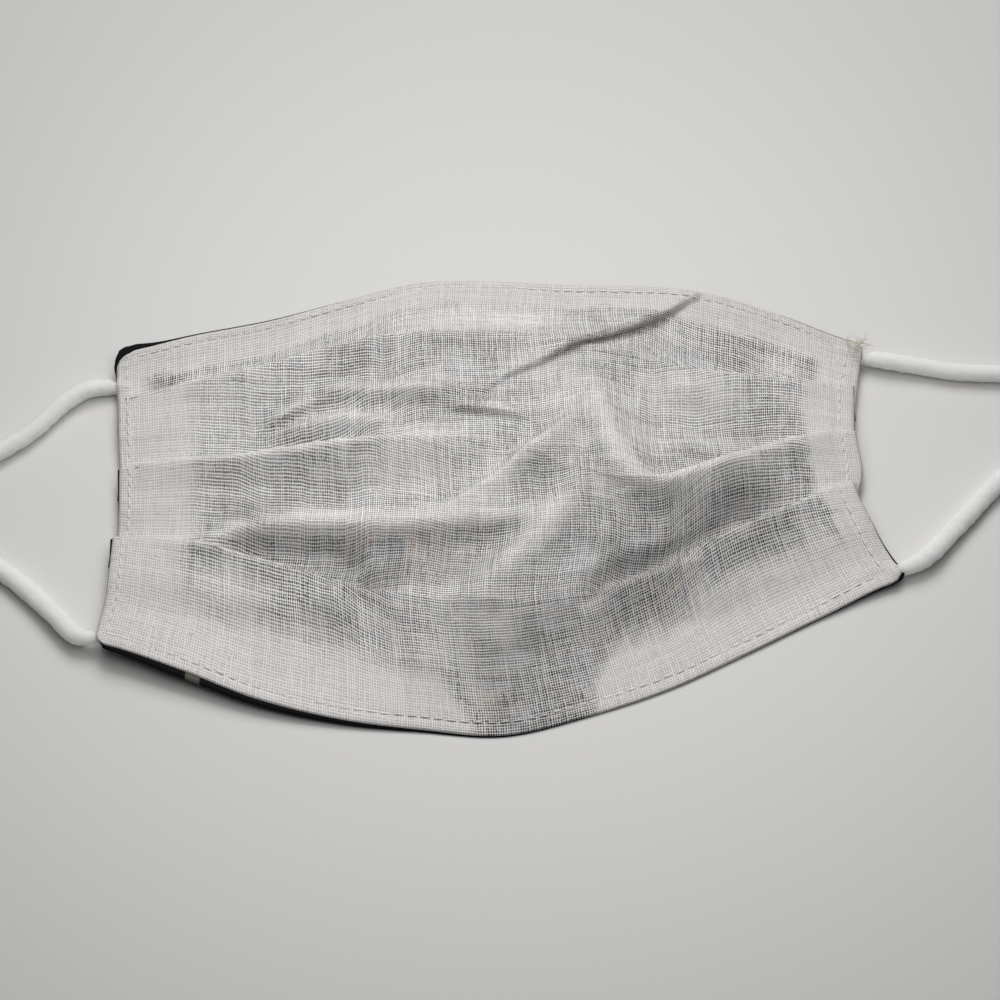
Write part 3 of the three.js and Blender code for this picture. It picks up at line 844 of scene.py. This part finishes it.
# Painted shade: where the nearness is high, the cotton behind is kept at its darkest.
black_and_shade_behind = gauze.mix(blotch * (1 - close_and_shade), DARK_BEHIND, GREY_BEHIND)
behind = gauze.mix(patch * PATCH_SHARE, black_and_shade_behind, tint)
# The dark behind shows through less where a fold rises or light is painted, and more where shade is
# painted.
through_and_shade = inside * (0.25 + contact_and_shade * 0.75) * (1 - clear * HIDDEN_WHEN_CLEAR)
hole_colour = gauze.mix(through_and_shade, BORDER_HOLE, behind)
pale_thread = gauze.mix(inside, BORDER_THREAD, GAUZE_THREAD)
thread_shade = through_and_shade * (0.06 + 0.10 * (1 - blotch) + close_and_shade * 0.24)
thread_colour = gauze.mix(thread_shade, pale_thread, behind)
gauze.feed("Base Color", gauze.mix(holes, thread_colour, hole_colour))
gauze.bump((1 - holes) + (warp_slub + weft_slub), THREAD_DEEP, 0.7)


def thicken(cloth, thick):
    """The cloth's own thickness, below its grid."""
    wall = cloth.modifiers.new("thickness", "SOLIDIFY")
    wall.thickness = thick * MM
    wall.offset = -1.0


lining = object_from("lining_gauze", lining_mesh, gauze.material)
thicken(lining, GAUZE_THICK)
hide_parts("lining_panel")


# Outer: black printed cotton, folded together with the lining and turned out with it,
# so that its edge rolls out past the lining's at the nose corner and along the chin.
# Each of the last rows and columns of the grid takes its share of the overhang.
NOSE_OVERHANG = [1.0, 0.6, 0.5, 0.3, 0.3, 0.2, -0.2, -0.2, -0.1, 0.35, 0.4]
CHIN_OVERHANG = [0.9, 1.8, 1.45, 1.0, 0.5, 0.3, 0.1, 0.0, 0.0, 0.1, 0.35]
CORNER_ROLL = 1.7
CORNER_ROLL_REACH = 7.5
ROLL_SHARES = (1.0, 0.75, 0.5, 0.25)
LIP_ROWS = len(LIP_ANGLES)
TIGHT_PLEAT = (0.3, 2.0)

across_way = np.stack([np.gradient(a, axis=1) for a in (cloth_x, cloth_y, cloth_z)], -1)
down_way = np.stack([np.gradient(a, axis=0) for a in (cloth_x, cloth_y, cloth_z)], -1)
outward = np.cross(down_way, across_way)
outward /= np.maximum(np.linalg.norm(outward, axis=-1, keepdims=True), 1e-9)

# Where a pleat is pulled open, its few close rows take a calm direction from round it.
rows = np.arange(len(row_band))
fold_starts = [
    r for r in range(1, len(row_band)) if row_band[r] is None and row_band[r - 1] is not None
]
for k, start in enumerate(fold_starts):
    bend = start + FOLD_ROWS
    calm = outward[bend - 2] + outward[bend + LIP_ROWS + 2]
    calm /= np.linalg.norm(calm, axis=-1, keepdims=True)
    tight = ease(*TIGHT_PLEAT, line_under[k + 1])[:, None]
    for r in range(bend - 1, bend + LIP_ROWS + 2):
        outward[r] = outward[r] * tight + calm * (1 - tight)
outer_x = cloth_x - outward[..., 0] * COTTON_BELOW
outer_y = cloth_y - outward[..., 1] * COTTON_BELOW
outer_z = cloth_z - outward[..., 2] * COTTON_BELOW


def side_roll(side):
    """How far the cotton rolls out at a side, row by row. A fold goes on as the band below."""
    rolls = []
    for k, band in enumerate(BANDS):
        steps = [i / BAND_ROWS[k] for i in range(BAND_ROWS[k] + 1)]
        rolls += [float(along(band[side], np.array(t))) for t in steps]
        if k + 1 < len(BANDS):
            rolls += [float(BANDS[k + 1][side][0])] * (FOLD_ROWS + LIP_ROWS)
    return np.array(rolls)


roll_left = side_roll("roll_left")
roll_right = side_roll("roll_right")
corner_roll = CORNER_ROLL * np.exp(-((from_left[0] / CORNER_ROLL_REACH) ** 2))
nose_roll = along(NOSE_OVERHANG, STATIONS) + corner_roll
chin_roll = along(CHIN_OVERHANG, STATIONS)
for back, share in enumerate(ROLL_SHARES):
    outer_y[back] += nose_roll * share
    outer_y[-1 - back] -= chin_roll * share
    outer_x[:, back] -= roll_left * share
    outer_x[:, -1 - back] += roll_right * share

# The cotton sinks away by SINK where a pleat is open, and is tucked by TUCK into each
# bend of the lining. Under a fold that leans over, it leans less, and lies lower.
SINK = 1.0
SINK_ROWS = 4.0
SINK_OPEN = (0.8, 4.5)
TUCK = 0.5
TUCK_ROWS = 2.2
LEAN_BACK = 0.35
LEAN_SINK = 0.25

for k, start in enumerate(fold_starts):
    rows_away = np.maximum(start - 2 - rows, rows - start - FOLD_ROWS - LIP_ROWS - 1)
    by_row = np.exp(-((np.maximum(rows_away, 0) / SINK_ROWS) ** 2))
    by_column = 1 - ease(*SINK_OPEN, line_under[k + 1])
    outer_z -= SINK * by_row[:, None] * by_column[None, :]
    from_bend = rows - start - FOLD_ROWS - 1
    outer_y -= TUCK * np.exp(-((from_bend / TUCK_ROWS) ** 2))[:, None]
outer_x -= LEAN_BACK * cloth_lean[0]
outer_y -= LEAN_BACK * cloth_lean[1]
outer_z -= LEAN_SINK * np.hypot(*cloth_lean)
outer_z = np.maximum(outer_z, COTTON_THICK)

# The print: square patches in worn colours, one at random for each, on black.
COTTON_BLACK = (0.007, 0.007, 0.008, 1)
COTTON_PITCH = 0.36
COTTON_DEEP = 0.04 * MM
PATCHES = {"Scale": 0.11, "Randomness": 0.85, "Smoothness": 0.02}
PRINT_SHARE = 0.35

cotton = Finish("black_cotton", {"Roughness": 0.95, "Specular IOR Level": 0.15})
on_cotton = cotton.on_flat()
cu, cv = cotton.axes(on_cotton)
weave_turn = 2 * math.pi / COTTON_PITCH
cotton_weave = (cu * weave_turn).cosine() * (cv * weave_turn).cosine()
square_cells = {"distance": "CHEBYCHEV", "feature": "SMOOTH_F1"}
patch_sockets = {"Vector": on_cotton, **PATCHES}
from_middle = cotton.node("ShaderNodeTexVoronoi", square_cells, patch_sockets)
patch_colour = cotton.node("ShaderNodeTexVoronoi", square_cells, patch_sockets, out=1)
patch_number = cotton.axes(patch_colour)[0]
print_mask = from_middle.ramp(0.20, 0.16) * PRINT_SHARE
printed = cotton.mix(print_mask, COTTON_BLACK, print_colour(cotton, patch_number))
cotton.feed("Base Color", printed)
cotton.bump(cotton_weave, COTTON_DEEP, 0.5)

outer_mesh = grid_mesh("outer_cotton", outer_x, outer_y, outer_z, flat_u, flat_v)[0]
outer = object_from("outer_cotton", outer_mesh, cotton.material)
thicken(outer, COTTON_THICK)
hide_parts("outer_panel")


# Topstitching: white cotton thread, a row of straight stitches that closes the turned
# edge all round and holds the pleats and the ends of the elastic.
STITCH = 2.3
STITCH_GAP = 0.65
STITCH_STRAY = 0.1
STITCH_LIFT = 0.3
EDGE_THREAD = 0.34
SIDE_THREAD = 0.46
PAST_LIP = 0.5
SEED = 7


def on_cloth(r, c):
    """The cloth's surface at a fractional row and column."""
    r = min(max(r, 0.0), len(cloth_x) - 1.001)
    c = min(max(c, 0.0), COLUMNS - 0.001)
    i, j = int(r), int(c)
    f, g = r - i, c - j
    corners = (
        (i, j, (1 - f) * (1 - g)), (i + 1, j, f * (1 - g)),
        (i, j + 1, (1 - f) * g), (i + 1, j + 1, f * g),
    )
    place = Vector()
    for a, b, share in corners:
        place += Vector((cloth_x[a, b], cloth_y[a, b], cloth_z[a, b])) * share
    return place


def crosswise_seam(distances, seam, first, last):
    """Where each column passes the seam's distance from the nose or chin edge."""
    line = []
    for c in range(first, last):
        order = np.argsort(distances[:, c])
        line.append(on_cloth(float(np.interp(seam, distances[order, c], rows[order])), c))
    return line


def side_seam(column_of):
    """The seam in a side hem: each band down to where the next pleat covers it."""
    pieces, line = [], []
    for r, k in enumerate(row_band):
        c = column_of(r)
        j = int(c)
        hidden = k is None or (k + 1 < len(BANDS) and cloth_y[r, j] < line_y[k + 1][j] + PAST_LIP)
        if hidden or not NOSE_SEAM <= passed[r, j] <= passed[-1, j] - CHIN_SEAM:
            pieces.append(line)
            line = []
        else:
            line.append(on_cloth(r, c))
    return [piece for piece in pieces + [line] if piece]


def sew(sheet, line, thick, dice):
    """Stitches along a line: a slim rounded bar each, pressed into the cloth."""
    walked, start = STITCH_GAP, None
    for a, b in zip(line, line[1:]):
        way = (b - a).normalized()
        at = 0.0
        reach = (b - a).length
        while walked + reach - at >= (STITCH if start else STITCH_GAP):
            at += (STITCH if start else STITCH_GAP) - walked
            walked = 0.0
            point = a + way * at
            if start is None:
                start = point
                continue
            bar = bmesh.ops.create_uvsphere(sheet, u_segments=8, v_segments=6, radius=0.5)
            along_bar = point - start
            turn = along_bar.to_track_quat("Z", "Y").to_matrix()
            stray_x = dice.uniform(-STITCH_STRAY, STITCH_STRAY)
            stray_y = dice.uniform(-STITCH_STRAY, STITCH_STRAY)
            shift = Vector((stray_x, stray_y, thick * STITCH_LIFT))
            for vert in bar["verts"]:
                grown = Vector((vert.co.x * thick, vert.co.y * thick, vert.co.z * along_bar.length))
                vert.co = (turn @ grown + (start + point) / 2 + shift - CENTRE) * MM
            start = None
        walked += reach - at


def columns_in(seam, r):
    """How many columns in from the side a seam lies at a row."""
    return seam / float(cloth_x[r, -1] - cloth_x[r, 0]) * COLUMNS


dice = random.Random(SEED)
stitching = bmesh.new()
first = round(columns_in(LEFT_SEAM, 0))
last = COLUMNS - round(columns_in(RIGHT_SEAM, 0))
sew(stitching, crosswise_seam(from_nose, NOSE_SEAM, first, last), EDGE_THREAD, dice)
sew(stitching, crosswise_seam(from_chin, CHIN_SEAM, first, last), EDGE_THREAD, dice)
for line in side_seam(lambda r: columns_in(LEFT_SEAM, r)):
    sew(stitching, line, SIDE_THREAD, dice)
for line in side_seam(lambda r: COLUMNS - columns_in(RIGHT_SEAM, r)):
    sew(stitching, line, SIDE_THREAD, dice)
stitch_mesh = bpy.data.meshes.new("topstitching")
stitching.to_mesh(stitch_mesh)
stitching.free()
stitch_mesh.shade_smooth()

THREAD_SHADE = (0.76, 0.75, 0.74, 1)
THREAD_WHITE = (0.88, 0.87, 0.86, 1)
TWIST_SCALE = 2500
TWIST_DEEP = 0.05 * MM

thread = Finish("white_thread", {"Roughness": 0.8, "Sheen Weight": 0.2})
twist = thread.noise(thread.in_place(), TWIST_SCALE, 2, 0.5)
thread.feed("Base Color", thread.mix(twist, THREAD_SHADE, THREAD_WHITE))
thread.bump(twist, TWIST_DEEP, 0.6)
stitches = object_from("topstitching", stitch_mesh, thread.material)


# Frayed corner: raw, slightly yellowed thread ends at the nose corner on the right,
# where the hem was turned over the end of the elastic.
TUFT_AT = Vector((89.6, 43.4, 5.0))
TUFT_STRANDS = 34
STRAND_THICK = 0.13
STRAND_LENGTHS = (0.9, 2.6)
STRAND_HEADINGS = (-35, 150)
FRAYED_YELLOW = (0.68, 0.64, 0.52, 1)

strands = bpy.data.curves.new("frayed_corner_line", "CURVE")
strands.dimensions = "3D"
strands.bevel_depth = STRAND_THICK / 2 * MM
strands.bevel_resolution = 1
strands.resolution_u = 4
for i in range(TUFT_STRANDS):
    strand = strands.splines.new("BEZIER")
    strand.bezier_points.add(2)
    root = TUFT_AT + Vector(
        (dice.uniform(-3.2, 1.2), dice.uniform(-2.2, 0.6), dice.uniform(-0.5, 0.1))
    )
    heading = math.radians(dice.uniform(*STRAND_HEADINGS))
    reach = dice.uniform(*STRAND_LENGTHS)
    out_way = Vector((math.cos(heading), math.sin(heading), dice.uniform(0.0, 0.5))) * reach
    curl = Vector((dice.uniform(-0.6, 0.6), dice.uniform(-0.6, 0.6), dice.uniform(0.0, 0.5)))
    places = (root, root + out_way * 0.5 + curl, root + out_way)
    for point, place in zip(strand.bezier_points, places):
        point.co = (place - CENTRE) * MM
        point.handle_left_type = "AUTO"
        point.handle_right_type = "AUTO"
carrier = bpy.data.objects.new("frayed_corner_line", strands)
bpy.context.collection.objects.link(carrier)
tuft_mesh = mesh_of(carrier)
frayed = Finish("frayed_thread", {"Base Color": FRAYED_YELLOW, "Roughness": 0.9})
tuft = object_from("frayed_corner", tuft_mesh, frayed.material)


# Studio: a pale matte surface under a large soft light high behind the mask, with a
# weaker one straight above it and a little light from the room.
FLOOR_HALF = 2.0
FLOOR_SHADE = (0.74, 0.735, 0.725, 1)
FLOOR_PALE = (0.76, 0.755, 0.745, 1)
GRAIN_SCALE = 900
ROOM_STRENGTH = 0.04
DAYLIGHT = (1.0, 0.995, 0.985)
KEY_PLACE, KEY_WIDTH, KEY_POWER = (0.02, 0.55, 0.62), 0.48, 4.1
OVERHEAD_PLACE, OVERHEAD_WIDTH, OVERHEAD_POWER = (0.0, 0.0, 0.18), 0.24, 0.235

floor_sheet = bmesh.new()
bmesh.ops.create_grid(floor_sheet, x_segments=1, y_segments=1, size=FLOOR_HALF)
floor_mesh = bpy.data.meshes.new("floor")
floor_sheet.to_mesh(floor_mesh)
floor_sheet.free()
paper = Finish("pale_paper", {"Roughness": 0.9})
grain = paper.noise(paper.in_place(), GRAIN_SCALE, 3, 0.6)
paper.feed("Base Color", paper.mix(grain, FLOOR_SHADE, FLOOR_PALE))
floor = bpy.data.objects.new("floor", floor_mesh)
floor_mesh.materials.append(paper.material)
bpy.context.collection.objects.link(floor)

world = bpy.data.worlds.new("soft_room")
world.use_nodes = True
world.node_tree.nodes["Background"].inputs["Color"].default_value = (*DAYLIGHT, 1)
world.node_tree.nodes["Background"].inputs["Strength"].default_value = ROOM_STRENGTH
bpy.context.scene.world = world


def softbox(name, place, width, power):
    """A square soft light that points at the middle of the mask."""
    data = bpy.data.lights.new(name, "AREA")
    data.shape = "SQUARE"
    data.size = width
    data.energy = power
    data.color = DAYLIGHT
    lamp = bpy.data.objects.new(name, data)
    lamp.location = place
    lamp.visible_camera = False
    lamp.rotation_euler = (Vector() - Vector(place)).to_track_quat("-Z", "Y").to_euler()
    bpy.context.collection.objects.link(lamp)


softbox("key_light", KEY_PLACE, KEY_WIDTH, KEY_POWER)
softbox("overhead_light", OVERHEAD_PLACE, OVERHEAD_WIDTH, OVERHEAD_POWER)
view_settings = bpy.context.scene.view_settings
view_settings.view_transform = "Standard"
view_settings.look = "None"
